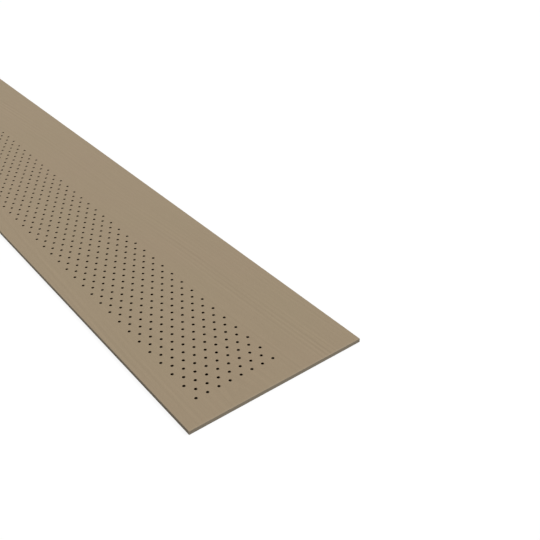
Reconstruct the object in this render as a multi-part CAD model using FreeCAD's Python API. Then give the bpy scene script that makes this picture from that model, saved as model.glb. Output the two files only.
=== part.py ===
import FreeCAD, Part
import os

# Vented soffit panel: one flat fibre-cement board with square-cut edges, pierced by a staggered band of
# round vent holes that runs along one side from end to end.
# Frame: X across the width, Y along the length, Z up from the plain back face to the finished face.
# The origin is the middle of the back face, and the vent band lies on the -X side.

# Driving dimensions, in millimetres
panel_length = 1828.8
panel_width = 304.8
panel_thickness = 6.35
hole_diameter = 4.7625
hole_pitch = 19.05  # between neighbouring holes of one row, across the panel
row_pitch = 15.24  # from one row of holes to the next, along the panel
band_width = 133.35  # between the first and the last hole line of the vent band
band_margin = 41.275  # from the long edge to the first hole line
end_margin = 45.72  # least plain length between an end and the first row

# Share of a pitch that rounding error may take from a space that holds whole pitches
rounding_share = 1e-6


def pitches_within(space, pitch):
    """The number of whole pitches that fit in a space."""
    return int(space / pitch + rounding_share)


def hole_centres():
    """Centres of the vent holes, row by row. Every other row moves in by half a pitch and has one hole less."""
    row_steps = pitches_within(panel_length - 2 * end_margin, row_pitch)
    first_line = -panel_width / 2 + band_margin
    centres = []
    for row in range(row_steps + 1):
        y = (row - row_steps / 2) * row_pitch
        inset = row % 2 * hole_pitch / 2
        hole_steps = pitches_within(band_width - 2 * inset, hole_pitch)
        for step in range(hole_steps + 1):
            centres.append(FreeCAD.Vector(first_line + inset + step * hole_pitch, y, 0))
    return centres


def panel_outline():
    """The board's rectangular outline on the back face."""
    right = panel_width / 2
    far = panel_length / 2
    corners = [(-right, -far), (right, -far), (right, far), (-right, far), (-right, -far)]
    return Part.makePolygon([FreeCAD.Vector(x, y, 0) for x, y in corners])


def vent_hole(centre):
    """The round mouth of one vent hole on the back face."""
    up = FreeCAD.Vector(0, 0, 1)
    return Part.Wire(Part.Circle(centre, up, hole_diameter / 2).toShape())


def vented_panel():
    """The board: its outline, pierced by every vent hole and raised to its thickness."""
    back_face = Part.Face([panel_outline()] + [vent_hole(centre) for centre in hole_centres()])
    return back_face.extrude(FreeCAD.Vector(0, 0, panel_thickness))


os.makedirs("parts", exist_ok=True)
vented_panel().exportStep("parts/vented_panel.step")
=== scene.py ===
import math
from collections import namedtuple

import bpy
import numpy as np
from mathutils import Euler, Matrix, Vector
from mathutils.geometry import delaunay_2d_cdt


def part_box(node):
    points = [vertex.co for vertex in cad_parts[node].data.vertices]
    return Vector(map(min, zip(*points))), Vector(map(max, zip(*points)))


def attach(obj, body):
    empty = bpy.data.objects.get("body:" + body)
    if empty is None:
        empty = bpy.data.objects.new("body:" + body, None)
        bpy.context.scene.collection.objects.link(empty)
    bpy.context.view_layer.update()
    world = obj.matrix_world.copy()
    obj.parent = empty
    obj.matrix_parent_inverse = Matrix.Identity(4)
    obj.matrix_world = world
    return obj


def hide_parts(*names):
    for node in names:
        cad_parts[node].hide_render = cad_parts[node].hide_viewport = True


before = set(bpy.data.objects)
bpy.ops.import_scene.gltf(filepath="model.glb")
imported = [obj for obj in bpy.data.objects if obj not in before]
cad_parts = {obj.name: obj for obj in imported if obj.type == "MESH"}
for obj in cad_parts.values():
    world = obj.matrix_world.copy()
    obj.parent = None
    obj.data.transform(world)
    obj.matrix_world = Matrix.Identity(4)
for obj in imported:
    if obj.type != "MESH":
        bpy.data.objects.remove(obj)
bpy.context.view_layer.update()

# Vented soffit panel lying face up on a white floor: one board with a pressed wood grain, eased arrises
# and a staggered band of round vent holes. X runs across the board, Y along it and Z up from its back.

# The board, in metres
LOW, HIGH = (np.array(corner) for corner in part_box("vented_panel"))
WIDTH, LENGTH, THICKNESS = HIGH - LOW
ARRIS = 0.0004  # ease of the finished face's edges
BACK_ARRIS = 0.0002

# The vent band, in metres
HOLE_RADIUS = 0.00238125
HOLE_PITCH = 0.01905  # across the board
ROW_PITCH = 0.01524  # along the board
HOLES_ACROSS = 8
BAND_MARGIN = 0.041275  # from the long edge to the first hole line
END_MARGIN = 0.04572  # from an end to the first row
RIM = 0.0001  # ease of a hole's mouth

# The grid that the finished face is woven on: a hole's centre lies on a column line and midway in a row
COLUMNS_PER_PITCH = 12
COLUMN = HOLE_PITCH / COLUMNS_PER_PITCH
ROW = ROW_PITCH / 2
HOLE_REACH = 2  # columns on each side of a hole that its collar takes up
ON_LINE = 1e-6  # metres that a corner may lie off its line

# Angles of a hole's corners, in degrees, and the number of the corner that starts each side of its collar
HOLE_ANGLES = np.array([-130, -110, -90, -70, -50, -25, 0, 25, 50, 70, 90, 110, 130, 155, 180, 205])
NEAR_SIDE, RIGHT_SIDE, FAR_SIDE, LEFT_SIDE = 0, 4, 8, 12
HOLE_CORNERS = len(HOLE_ANGLES)

# The corners of a quad between two rings: which ring each is on, and which step along it
QUAD_RING = np.array([0, 1, 1, 0])
QUAD_STEP = np.array([0, 0, 1, 1])

# The Delaunay triangles of the back: only those inside its loops, with points merged within these metres
INSIDE_LOOPS = 1
MERGE_WITHIN = 1e-9

# The pressed grain, in metres
GRAIN_DEPTH = 0.0005
RING_SPACING = 0.0074
HEART_X = -0.073  # where the grain's heart line crosses the middle of the board
HEART_SLANT = 0.021  # how far it moves to the left for each metre along
HEART_DEPTH = 0.102  # how far under the middle of the face it lies
HEART_DIP = 0.0525  # how much deeper it lies for each metre along
MEAN_RING = 0.8  # mean depth of a ring as a share of the grain's

# Bundles of firm grain lines: place across the board, half width (both in metres) and firmness
BUNDLES = np.array([
    (-0.138, 0.010, 0.45), (-0.088, 0.006, 0.3), (-0.022, 0.006, 0.3),
    (0.030, 0.008, 0.35), (0.085, 0.015, 1.0), (0.140, 0.007, 0.25)])
MEAN_SWELL = 0.5  # mean share of its firmness that a bundle has along the board
PLAIN_FIRMNESS = 0.14  # between the bundles

# Smooth wanders: reach, wavelengths and seed
HEART_SWAY = (0.003, (0.83, 0.51), 3)  # to the sides, in metres
HEART_HEAVE = (0.002, (1.9, 0.9), 4)  # up and down, in metres
BUNDLE_SWAY = (0.009, (0.7, 0.5), 284)  # to the sides, in metres
BUNDLE_SWELL = (0.5, (1.7, 1.1), 56)  # about the mean swell, with waves in metres
RING_VARIETY = (0.2, (3.7, 2.3), 7)  # about the mean ring, with waves in rings
ARRIS_VARIETY = (0.35, (0.31, 0.093, 0.037, 0.017), 8)  # a share of the arris, with waves in metres

# The photograph's camera, with its place in metres from the middle of the near end
CAMERA_FROM_NEAR_END = np.array([-0.4960, -0.6069, 0.7300])
VIEW_AZIMUTH = math.radians(38.171)
VIEW_ELEVATION = math.radians(34.3255)
LENS_MM, SENSOR_MM = 50.4, 36.0

# The map that the finishes are baked through on export, in pixels: strips side by side, as tall as it is
MAP_NAME = "OFBake"
MAP_SIZE = 1024
MAP_MARGIN = 4
FACE_STRIP = (4, 684)
BACK_STRIP = (692, 852)
SIDE_STRIPS = np.array([(860, 880), (888, 908), (916, 936)])  # left edge, right edge, both ends
BOTH_ENDS = 2
WALL_STRIP = (944, 1004)
EDGE_SHARES = np.array([0.0, 0.1, 0.2, 0.9, 1.0])  # where the rings round the edge cross their strip
END_SHARE = 0.49  # how much of its strip's height each end takes up
WALL_SHARE = 0.25  # how much of its strip's height the hole walls take up
END_REACH = 0.5 - ROW / LENGTH / 4  # share of the length from the middle to just short of an end

# Colours, linear
PAINT_OLIVE = (0.337, 0.270, 0.176, 1.0)
PAINT_ROSE = (0.348, 0.265, 0.181, 1.0)
PAINT_RUBBED = (0.42, 0.37, 0.29, 1.0)
EDGE_COLOUR = (0.315, 0.264, 0.195)
# Painted shade: the hole walls are coloured near black for the shade down the holes, far darker than the
# raw cement
HOLE_PAINTED_SHADE_COLOUR = (0.014, 0.005, 0.001)
BACK_COLOUR = (0.31, 0.28, 0.23)

# Gloss: specular level, mean roughness and how far the roughness varies
PAINT_GLOSS = (0.12, 0.66, 0.1)
EDGE_GLOSS = (0.15, 0.78, 0.1)
HOLE_GLOSS = (0.0, 0.85, 0.1)
BACK_GLOSS = (0.15, 0.85, 0.08)

# Patterns in the finishes: repeats per metre on each axis, levels of detail, strength of the finer levels,
# how far they lighten or darken the colour as a share of it, and the height of their relief in metres
Pattern = namedtuple("Pattern", "repeats detail fineness tone height", defaults=(0.0, 0.0))
STREAK = Pattern((420.0, 3.2, 0.0), 3.0, 0.55, tone=0.08, height=0.00012)
BAND = Pattern((60.0, 1.4, 0.0), 2.0, 0.5, tone=0.02)
FIBRE = Pattern((1600.0, 22.0, 0.0), 2.0, 0.6, tone=0.07, height=0.00005)
PAINT_MOTTLE = Pattern((6.0, 4.0, 0.0), 2.0, 0.5)
SPECK = Pattern((1300.0, 1300.0, 1300.0), 3.0, 0.6, tone=0.07, height=0.00004)
LAYER = Pattern((22.0, 22.0, 900.0), 3.0, 0.5, tone=0.14, height=0.00005)
SAWN = Pattern((900.0, 900.0, 700.0), 3.0, 0.6, tone=0.12, height=0.00006)
CRUMB = Pattern((1500.0, 1500.0, 900.0), 2.0, 0.5, tone=0.25, height=0.00005)
BACK_MOTTLE = Pattern((14.0, 9.0, 0.0), 3.0, 0.5, tone=0.08)
FELT = Pattern((900.0, 500.0, 0.0), 2.0, 0.5, tone=0.06, height=0.00004)

# The paint over the grain and on the arrises
PLAIN_STREAKS = 0.25  # added to the grain's firmness for the tone of its streaks
PLAIN_RIDGES = 0.2  # the same for their height
PAINTED_GROOVE_SHADE = 0.10  # painted shade: how much darker a full groove is painted than the top of its ring
MEAN_HOLLOW = MEAN_RING / 2  # mean depth of the grooves where the grain is fully firm
OUTLINE_WEAR = 0.4  # wear of the face's outline, with 1 on the arris
RUBBED_SHARE = 0.6  # how far full wear turns the paint into its rubbed colour

# Light and floor: the key and the surround together come to about one on a face that looks up
TOWARDS_KEY = (0.42, -0.33, 0.60)
KEY_STRENGTH = 1.6
KEY_SPREAD = 0.5  # radians
SURROUND = 0.58
FLOOR_TONE = 0.15
FLOOR_GLOW = 0.87
FLOOR_REACH = 20.0  # metres
FLOOR_GAP = 0.0002  # metres that keep the floor clear of the board's back


def wander(along, reach, wavelengths, seed):
    """A smooth random line from minus to plus its reach.

    It is the reach times the mean of sines of the given wavelengths, each with a random phase."""
    phases = np.random.default_rng(seed).uniform(0, 2 * np.pi, len(wavelengths))
    sines = [np.sin(2 * np.pi * along / w + p) for w, p in zip(wavelengths, phases)]
    return reach * (sum(sines) / len(sines))


def growth_rings(x, y):
    """Distance from the heart line of the log: the root of the squared way across and the squared depth.

    The heart line slants across the board and wanders a little to the sides and up and down, so that
    lines of equal distance run along the board, spread over the heart and arch where its depth changes."""
    across = x - HEART_X + HEART_SLANT * y - wander(y, *HEART_SWAY)
    depth = HEART_DEPTH + HEART_DIP * y + wander(y, *HEART_HEAVE)
    return np.hypot(across, depth)


def grain_strength(x, y):
    """How firmly the grain is pressed, from 0 to 1: a bell curve across the board for each bundle.

    The bundles sway to the sides, and swell and fade along the board."""
    middle, half_width, firmness = BUNDLES.T
    swayed = x - wander(y, *BUNDLE_SWAY)
    bells = firmness * np.exp(-(((swayed[..., None] - middle) / half_width) ** 2))
    swell = MEAN_SWELL + wander(y + x, *BUNDLE_SWELL)
    return np.clip(PLAIN_FIRMNESS + bells.sum(-1) * swell, 0.0, 1.0)


def grain_groove(x, y):
    """Depth of the grain, from 0 to 1: half of one less the cosine of the growth rings.

    It is weaker in some rings and between the bundles."""
    rings = growth_rings(x, y)
    uneven = MEAN_RING + wander(rings / RING_SPACING, *RING_VARIETY)
    waves = 0.5 - 0.5 * np.cos(2 * np.pi * rings / RING_SPACING)
    return grain_strength(x, y) * uneven * waves


def face_lines():
    """Grid lines of the finished face: even columns, and rows with the holes' row lines midway in them."""
    x = LOW[0] + COLUMN * np.arange(round(WIDTH / COLUMN) + 1)
    y = LOW[1] + ROW * (np.arange(round(LENGTH / ROW)) + 0.5)
    y = np.concatenate([[LOW[1]], y, [HIGH[1]]])
    return np.clip(x, LOW[0] + ARRIS, HIGH[0] - ARRIS), np.clip(y, LOW[1] + ARRIS, HIGH[1] - ARRIS)


def hole_places():
    """Each hole's column line and row in the grid.

    Every other row of holes moves in by half a pitch and has one hole less."""
    rows = round((LENGTH - 2 * END_MARGIN) / ROW_PITCH) + 1
    row, step = np.meshgrid(np.arange(rows), np.arange(HOLES_ACROSS), indexing="ij")
    shifted = row % 2
    column = round(BAND_MARGIN / COLUMN) + COLUMNS_PER_PITCH * step + COLUMNS_PER_PITCH // 2 * shifted
    line = round(END_MARGIN / ROW) + 2 * row
    keep = step < HOLES_ACROSS - shifted
    return column[keep], line[keep]


def hole_rings(column, line):
    """Three rings of corners down each hole: its eased mouth on the face, its throat and its outlet.

    A corner is the hole's centre plus the ring's radius times the cosine and sine of its angle."""
    centre = np.stack([LOW[0] + COLUMN * column, LOW[1] + ROW * line], -1)[:, None]
    angle = np.radians(HOLE_ANGLES)
    turn = np.stack([np.cos(angle), np.sin(angle)], -1)
    mouth = centre + (HOLE_RADIUS + RIM) * turn
    throat = centre + HOLE_RADIUS * turn
    top = THICKNESS - GRAIN_DEPTH * grain_groove(mouth[..., 0], mouth[..., 1])
    levels = [(mouth, top), (throat, top - RIM), (throat, np.zeros_like(top))]
    return [np.concatenate([plan, z[..., None]], -1).reshape(-1, 3) for plan, z in levels]


def edge_rings(loop):
    """Four rings round the board: the arris in two steps, the foot of the cut edge and the back's arris.

    Each ring is the face's outline moved out to its inset from the cut edge and down to its level. The
    first is midway on a quarter round, where both are the radius times one less the root of a half."""
    far_out = (WIDTH / 2, LENGTH / 2)
    around = np.cumsum(np.linalg.norm(np.diff(loop, axis=0, prepend=loop[-1:]), axis=1))
    radius = ARRIS * (1 + wander(around, *ARRIS_VARIETY))
    midway = radius * (1 - math.sqrt(0.5))
    top = loop[:, 2]
    steps = [(midway, top - midway), (0.0, top - radius), (0.0, BACK_ARRIS), (BACK_ARRIS, 0.0)]
    rings = []
    for inset, level in steps:
        ring = loop.copy()
        for axis, reach in enumerate(far_out):
            on_edge = np.isclose(np.abs(loop[:, axis]), reach - ARRIS, atol=ON_LINE)
            ring[:, axis] = np.where(on_edge, np.sign(loop[:, axis]) * (reach - inset), loop[:, axis])
        ring[:, 2] = level
        rings.append(ring)
    return rings


def ring_quads(first, second):
    """Quads between two closed rings of corner numbers, or between many pairs, one ring in each row."""
    return np.stack([first, second, np.roll(second, -1, -1), np.roll(first, -1, -1)], -1).reshape(-1, 4)


def collar_faces(corner, column, line, mouth):
    """Faces between a hole's mouth and the grid around it.

    The near and far sides have four quads each, and each side across is one face with seven corners."""
    step = np.arange(2 * HOLE_REACH)
    left, right = column - HOLE_REACH, column + HOLE_REACH
    near_a = corner(left[:, None] + step, line[:, None])
    near_b = corner(left[:, None] + step + 1, line[:, None])
    near = np.stack([near_a, near_b, mouth[:, NEAR_SIDE + 1 + step], mouth[:, NEAR_SIDE + step]], -1)
    far_a = corner(right[:, None] - step, line[:, None] + 1)
    far_b = corner(right[:, None] - step - 1, line[:, None] + 1)
    far = np.stack([far_a, far_b, mouth[:, FAR_SIDE + 1 + step], mouth[:, FAR_SIDE + step]], -1)
    right_arc = mouth[:, np.arange(FAR_SIDE, RIGHT_SIDE - 1, -1)]
    left_arc = mouth[:, np.arange(HOLE_CORNERS, LEFT_SIDE - 1, -1) % HOLE_CORNERS]
    right_face = np.column_stack([corner(right, line), corner(right, line + 1), right_arc])
    left_face = np.column_stack([corner(left, line + 1), corner(left, line), left_arc])
    return [near.reshape(-1, 4), far.reshape(-1, 4), right_face, left_face]


def back_faces(points, foot, outlets):
    """Triangles of the flat back between its outline and the holes' outlets, by constrained Delaunay."""
    loops = [foot, *outlets]
    used = np.concatenate(loops)
    owner = np.repeat(np.arange(len(loops)), [len(loop) for loop in loops])
    start = np.cumsum([0] + [len(loop) for loop in loops[:-1]])
    number = np.arange(len(used))
    following = np.where(np.append(owner[1:] != owner[:-1], True), start[owner], number + 1)
    plan = points[used, :2].tolist()
    edges = np.column_stack([number, following]).tolist()
    _, _, triangles, origin, _, _ = delaunay_2d_cdt(plan, edges, [], INSIDE_LOOPS, MERGE_WITHIN)
    origin = np.array([numbers[0] for numbers in origin])
    corners = origin[np.array(triangles)]
    in_hole = (owner[corners[:, 0]] > 0) & (np.ptp(owner[corners], axis=1) == 0)
    return used[corners[~in_hole]][:, ::-1]


def board_mesh():
    """The board as one closed surface: its points, its faces by finish, and its outline and arris.

    The finished face is a grid over x and y whose height is the board's thickness less the pressed grain.
    Each hole takes a collar out of the grid and carries a ring of corners down to the back, and the cut
    edge is a profile carried round the outline."""
    x, y = face_lines()
    grid = np.stack(np.meshgrid(x, y, indexing="ij"), -1)
    groove = grain_groove(grid[..., 0], grid[..., 1])
    face = np.concatenate([grid, (THICKNESS - GRAIN_DEPTH * groove)[..., None]], -1).reshape(-1, 3)

    def corner(column, line):
        """The number of the grid's corner on a column line and a row line."""
        return column * len(y) + line

    last_x, last_y = len(x) - 1, len(y) - 1
    along_x, along_y = np.arange(last_x), np.arange(last_y)
    outline = np.concatenate([
        corner(along_x, 0), corner(last_x, along_y),
        corner(last_x - along_x, last_y), corner(0, last_y - along_y)])

    column, line = hole_places()
    sets = [face, *hole_rings(column, line), *edge_rings(face[outline])]
    points = np.concatenate(sets)
    _, *rings = np.split(np.arange(len(points)), np.cumsum([len(part) for part in sets[:-1]]))
    mouth, throat, outlet = (ring.reshape(-1, HOLE_CORNERS) for ring in rings[:3])
    arris, edge_top, edge_foot, back_outline = rings[3:]

    column_number, line_number = np.meshgrid(along_x, along_y, indexing="ij")
    plain = np.ones(column_number.shape, bool)
    plain[column[:, None] + np.arange(-HOLE_REACH, HOLE_REACH), line[:, None]] = False
    a, b = column_number[plain], line_number[plain]
    quads = np.stack([corner(a, b), corner(a + 1, b), corner(a + 1, b + 1), corner(a, b + 1)], -1)

    painted = [quads, *collar_faces(corner, column, line, mouth), ring_quads(throat, mouth)]
    painted += [ring_quads(outline, arris), ring_quads(arris, edge_top)]
    cut = [ring_quads(edge_top, edge_foot), ring_quads(edge_foot, back_outline)]
    pierced = [ring_quads(outlet, throat)]
    back = [back_faces(points, back_outline, outlet)]
    return points, (painted, cut, pierced, back), (outline, np.concatenate([arris, edge_top]))


def on_strip(limits, across, along):
    """Places on the bake's map: shares of a strip's width and of the map's height between its margins."""
    left, right = np.moveaxis(np.asarray(limits), -1, 0)
    u = left + (right - left) * across
    v = MAP_MARGIN + (MAP_SIZE - 2 * MAP_MARGIN) * along
    return np.stack(np.broadcast_arrays(u, v), -1).reshape(-1, 2) / MAP_SIZE


def bake_map(points, groups):
    """Places of all face corners on the bake's map.

    The face and the back are seen square on, the rings round the edge are unrolled side by side, and all
    hole walls share one strip."""
    (*face, arris, arris_foot), (edge, edge_foot), (walls,), (back,) = groups
    place = (points[:, :2] - LOW[:2]) / (HIGH - LOW)[:2]
    painted = [on_strip(FACE_STRIP, *place[part.ravel()].T) for part in face]

    rolled = []
    for ring, part in enumerate([arris, arris_foot, edge, edge_foot]):
        x, y = np.moveaxis(place[part], -1, 0)
        at_end = (np.abs(y - 0.5) > END_REACH).all(1, keepdims=True)
        side = np.where(at_end, BOTH_ENDS, x[:, :1] > 0.5)
        along = np.where(at_end, END_SHARE * x + (1 - END_SHARE) * (y > 0.5), y)
        rolled.append(on_strip(SIDE_STRIPS[side], EDGE_SHARES[ring + QUAD_RING], along))

    step = np.arange(len(walls))[:, None] % HOLE_CORNERS + QUAD_STEP
    pierced = on_strip(WALL_STRIP, QUAD_RING, WALL_SHARE * step / HOLE_CORNERS)
    return np.concatenate([*painted, *rolled, pierced, on_strip(BACK_STRIP, *place[back.ravel()].T)])


def add_board():
    """The board's object, with its finishes and the marks that they read from its corners."""
    points, groups, (outline, arris) = board_mesh()
    mesh = bpy.data.meshes.new("vented_board")
    faces = [face for group in groups for part in group for face in part.tolist()]
    mesh.from_pydata(points.tolist(), [], faces)

    for finish in (painted_face(), cut_edge(), shaded_hole_wall(), plain_back()):
        mesh.materials.append(finish)
    smooth = np.array([True, False, True, False])
    counts = [sum(len(part) for part in group) for group in groups]
    finish_number = np.repeat(np.arange(len(groups)), counts)
    mesh.polygons.foreach_set("material_index", finish_number.astype(np.int32))
    mesh.polygons.foreach_set("use_smooth", smooth[finish_number])

    x, y, z = points.T
    grain = np.stack([growth_rings(x, y), y, z], -1)
    mesh.attributes.new("grain", "FLOAT_VECTOR", "POINT").data.foreach_set("vector", grain.ravel())
    worn = np.zeros(len(points))
    worn[outline] = OUTLINE_WEAR
    worn[arris] = 1.0
    marks = {"firm": grain_strength(x, y), "groove": grain_groove(x, y), "worn": worn}
    for name, values in marks.items():
        mesh.attributes.new(name, "FLOAT", "POINT").data.foreach_set("value", values)
    places = bake_map(points, groups)
    mesh.uv_layers.new(name=MAP_NAME).data.foreach_set("uv", places.ravel())
    mesh.validate()
    mesh.update()

    board = bpy.data.objects.new("vented_board", mesh)
    bpy.context.collection.objects.link(board)
    return board


def empty_tree(owner):
    """The node tree of a material or a world, with nothing in it yet."""
    owner.use_nodes = True
    owner.node_tree.nodes.clear()
    return owner.node_tree


def add_node(tree, kind, inputs=(), **settings):
    """A shader node with its settings, its constant inputs set and its other inputs linked."""
    node = tree.nodes.new(kind)
    for name, value in settings.items():
        setattr(node, name, value)
    for name, value in dict(inputs).items():
        if isinstance(value, bpy.types.NodeSocket):
            tree.links.new(value, node.inputs[name])
        else:
            node.inputs[name].default_value = value
    return node


def calc(tree, operation, first, second):
    """The result of one operation on two values."""
    return add_node(tree, "ShaderNodeMath", {0: first, 1: second}, operation=operation).outputs[0]


def calc_vector(tree, operation, inputs):
    """The result of one operation on vectors."""
    return add_node(tree, "ShaderNodeVectorMath", inputs, operation=operation).outputs[0]


def blend(tree, share, first, second):
    """The first colour turning into the second as the share goes from 0 to 1.

    The numbers are the sockets that the node uses for colours."""
    return add_node(tree, "ShaderNodeMix", {0: share, 6: first, 7: second}, data_type="RGBA").outputs[2]


def brighten(tree, colour, amount):
    """A colour times one plus an amount."""
    return calc_vector(tree, "SCALE", {0: colour, "Scale": calc(tree, "ADD", amount, 1.0)})


def swing(tree, value, reach):
    """A value from 0 to 1 turned into one from minus the reach to plus the reach."""
    return calc(tree, "MULTIPLY", calc(tree, "SUBTRACT", value, 0.5), 2 * reach)


def mark(tree, name, output="Fac"):
    """What the mesh's corners carry under a name."""
    return add_node(tree, "ShaderNodeAttribute", attribute_name=name).outputs[output]


def cloud(tree, place, pattern):
    """Noise from 0 to 1 over a place, with the pattern's repeats along each axis."""
    scaled = calc_vector(tree, "MULTIPLY", {0: place, 1: pattern.repeats})
    inputs = {"Vector": scaled, "Scale": 1.0, "Detail": pattern.detail, "Roughness": pattern.fineness}
    return add_node(tree, "ShaderNodeTexNoise", inputs).outputs["Fac"]


def tint(tree, noise, pattern):
    """How far a pattern's noise lightens or darkens the colour."""
    return swing(tree, noise, pattern.tone)


def rise(tree, noise, pattern):
    """The height of a pattern's noise, in metres."""
    return calc(tree, "MULTIPLY", noise, pattern.height)


def new_finish(name):
    """An empty material, its node tree and its place in the object's own coordinates."""
    finish = bpy.data.materials.new(name)
    tree = empty_tree(finish)
    return finish, tree, add_node(tree, "ShaderNodeTexCoord").outputs["Object"]


def add_surface(tree, colour, gloss, grit, height):
    """A surface with its colour, a roughness that varies with its grit, and fine relief, in metres."""
    shine, roughness, varies = gloss
    bump = add_node(tree, "ShaderNodeBump", {"Height": height, "Strength": 1.0, "Distance": 1.0})
    surface = add_node(tree, "ShaderNodeBsdfPrincipled", {
        "Base Color": colour,
        "Roughness": calc(tree, "ADD", roughness, swing(tree, grit, varies)),
        "Specular IOR Level": shine,
        "Normal": bump.outputs[0]})
    add_node(tree, "ShaderNodeOutputMaterial", {"Surface": surface.outputs[0]})


def painted_face():
    """Matt taupe paint over the pressed grain.

    Fine streaks and bands follow the growth rings, olive turns faintly into rose, deeper grooves carry a
    little painted shade, and the arrises are rubbed paler."""
    finish, tree, place = new_finish("painted_face")
    grain = mark(tree, "grain", "Vector")
    groove = mark(tree, "groove")
    firm = mark(tree, "firm")
    worn = mark(tree, "worn")
    streak = cloud(tree, grain, STREAK)
    band = cloud(tree, grain, BAND)
    fibre = cloud(tree, grain, FIBRE)
    mottle = cloud(tree, place, PAINT_MOTTLE)
    speck = cloud(tree, place, SPECK)

    lines = calc(tree, "MULTIPLY", tint(tree, streak, STREAK), calc(tree, "ADD", firm, PLAIN_STREAKS))
    broad = calc(tree, "ADD", lines, tint(tree, band, BAND))
    fine = calc(tree, "ADD", tint(tree, fibre, FIBRE), tint(tree, speck, SPECK))
    # Painted shade: the colour is darkened in the deeper grooves, about their mean depth, and lightened on
    # the ridges
    hollow = calc(tree, "SUBTRACT", groove, calc(tree, "MULTIPLY", firm, MEAN_HOLLOW))
    groove_shade_painted = calc(tree, "MULTIPLY", hollow, PAINTED_GROOVE_SHADE)
    shade = calc(tree, "SUBTRACT", calc(tree, "ADD", broad, fine), groove_shade_painted)
    paint = brighten(tree, blend(tree, mottle, PAINT_OLIVE, PAINT_ROSE), shade)
    rubbed = calc(tree, "MULTIPLY", calc(tree, "MULTIPLY", worn, speck), RUBBED_SHARE)
    colour = blend(tree, rubbed, paint, PAINT_RUBBED)

    ridges = calc(tree, "MULTIPLY", rise(tree, streak, STREAK), calc(tree, "ADD", firm, PLAIN_RIDGES))
    grit = calc(tree, "ADD", rise(tree, fibre, FIBRE), rise(tree, speck, SPECK))
    add_surface(tree, colour, PAINT_GLOSS, speck, calc(tree, "ADD", ridges, grit))
    return finish


def cut_edge():
    """The painted cut edge: greyer than the face, with faint layers along the board and a sawn surface."""
    finish, tree, place = new_finish("cut_edge")
    layer = cloud(tree, place, LAYER)
    sawn = cloud(tree, place, SAWN)
    shade = calc(tree, "ADD", tint(tree, layer, LAYER), tint(tree, sawn, SAWN))
    relief = calc(tree, "ADD", rise(tree, layer, LAYER), rise(tree, sawn, SAWN))
    add_surface(tree, brighten(tree, EDGE_COLOUR, shade), EDGE_GLOSS, sawn, relief)
    return finish


def shaded_hole_wall():
    """The wall of a vent hole: rough cement coloured near black, painted shade for the dark inside of the
    hole.
    """
    finish, tree, place = new_finish("shaded_hole_wall")
    crumb = cloud(tree, place, CRUMB)
    colour = brighten(tree, HOLE_PAINTED_SHADE_COLOUR, tint(tree, crumb, CRUMB))
    add_surface(tree, colour, HOLE_GLOSS, crumb, rise(tree, crumb, CRUMB))
    return finish


def plain_back():
    """The plain back: bare grey cement with soft clouds and fine felt marks."""
    finish, tree, place = new_finish("plain_back")
    mottle = cloud(tree, place, BACK_MOTTLE)
    felt = cloud(tree, place, FELT)
    shade = calc(tree, "ADD", tint(tree, mottle, BACK_MOTTLE), tint(tree, felt, FELT))
    add_surface(tree, brighten(tree, BACK_COLOUR, shade), BACK_GLOSS, felt, rise(tree, felt, FELT))
    return finish


def seen_directly(tree):
    """1 on a ray from the camera or on one that a shiny or clear surface sends on, and 0 on any other."""
    path = add_node(tree, "ShaderNodeLightPath").outputs
    shiny = calc(tree, "MAXIMUM", path["Is Glossy Ray"], path["Is Transmission Ray"])
    return calc(tree, "MAXIMUM", path["Is Camera Ray"], shiny)


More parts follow.
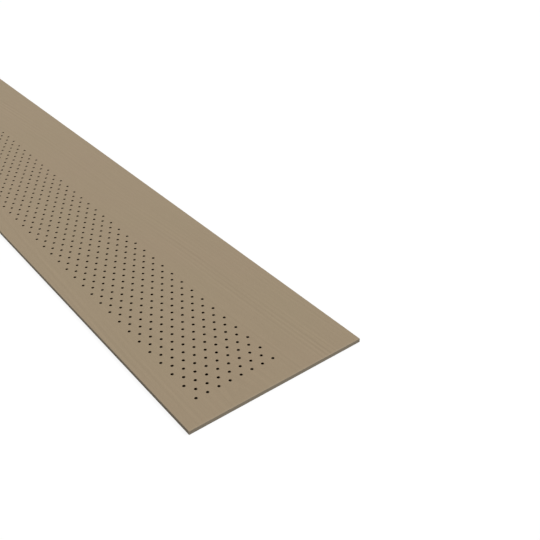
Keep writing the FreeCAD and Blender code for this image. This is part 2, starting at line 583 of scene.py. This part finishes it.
def add_floor():
    """A wide white floor just under the board, which glows where it is seen directly outside the board."""
    finish, tree, place = new_finish("white_floor")
    share = calc_vector(tree, "MULTIPLY", {0: place, 1: (2 / WIDTH, 2 / LENGTH, 0)})
    share = calc_vector(tree, "ABSOLUTE", {0: share})
    share = add_node(tree, "ShaderNodeSeparateXYZ", {0: share}).outputs
    outside = calc(tree, "GREATER_THAN", calc(tree, "MAXIMUM", share["X"], share["Y"]), 1.0)
    glow = calc(tree, "MULTIPLY", calc(tree, "MULTIPLY", seen_directly(tree), outside), FLOOR_GLOW)
    shade = add_node(tree, "ShaderNodeBsdfDiffuse", {"Color": (FLOOR_TONE, FLOOR_TONE, FLOOR_TONE, 1)})
    light = add_node(tree, "ShaderNodeEmission", {"Strength": glow})
    both = add_node(tree, "ShaderNodeAddShader", {0: shade.outputs[0], 1: light.outputs[0]})
    add_node(tree, "ShaderNodeOutputMaterial", {"Surface": both.outputs[0]})

    signs = [(-1, -1), (1, -1), (1, 1), (-1, 1)]
    corners = [(FLOOR_REACH * a, FLOOR_REACH * b, -FLOOR_GAP) for a, b in signs]
    mesh = bpy.data.meshes.new("white_floor")
    mesh.from_pydata(corners, [], [(0, 1, 2, 3)])
    mesh.materials.append(finish)
    floor = bpy.data.objects.new("white_floor", mesh)
    bpy.context.collection.objects.link(floor)
    return floor


def add_light():
    """A soft key light from the right and a pale surround, which light the face at a plain level."""
    lamp = bpy.data.lights.new("key", "SUN")
    lamp.energy = KEY_STRENGTH
    lamp.angle = KEY_SPREAD
    key = bpy.data.objects.new("key", lamp)
    key.rotation_euler = Vector(TOWARDS_KEY).to_track_quat("Z", "Y").to_euler()
    bpy.context.collection.objects.link(key)

    world = bpy.data.worlds.new("surround")
    tree = empty_tree(world)
    extra = calc(tree, "MULTIPLY", seen_directly(tree), 1 - SURROUND)
    strength = calc(tree, "ADD", extra, SURROUND)
    background = add_node(tree, "ShaderNodeBackground", {"Color": (1, 1, 1, 1), "Strength": strength})
    add_node(tree, "ShaderNodeOutputWorld", {"Surface": background.outputs[0]})
    bpy.context.scene.world = world


def add_camera():
    """The photograph's camera: from the near end and the vented side, looking down along the board."""
    lens = bpy.data.cameras.new("camera")
    lens.lens = LENS_MM
    lens.sensor_width = SENSOR_MM
    camera = bpy.data.objects.new("camera", lens)
    camera.location = CAMERA_FROM_NEAR_END + (0, LOW[1], 0)
    camera.rotation_euler = Euler((math.pi / 2 - VIEW_ELEVATION, 0, -VIEW_AZIMUTH))
    bpy.context.collection.objects.link(camera)
    bpy.context.scene.camera = camera


bpy.context.scene.view_settings.view_transform = "Standard"
board = add_board()
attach(board, "root")
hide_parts("vented_panel")
add_floor()
add_light()
add_camera()
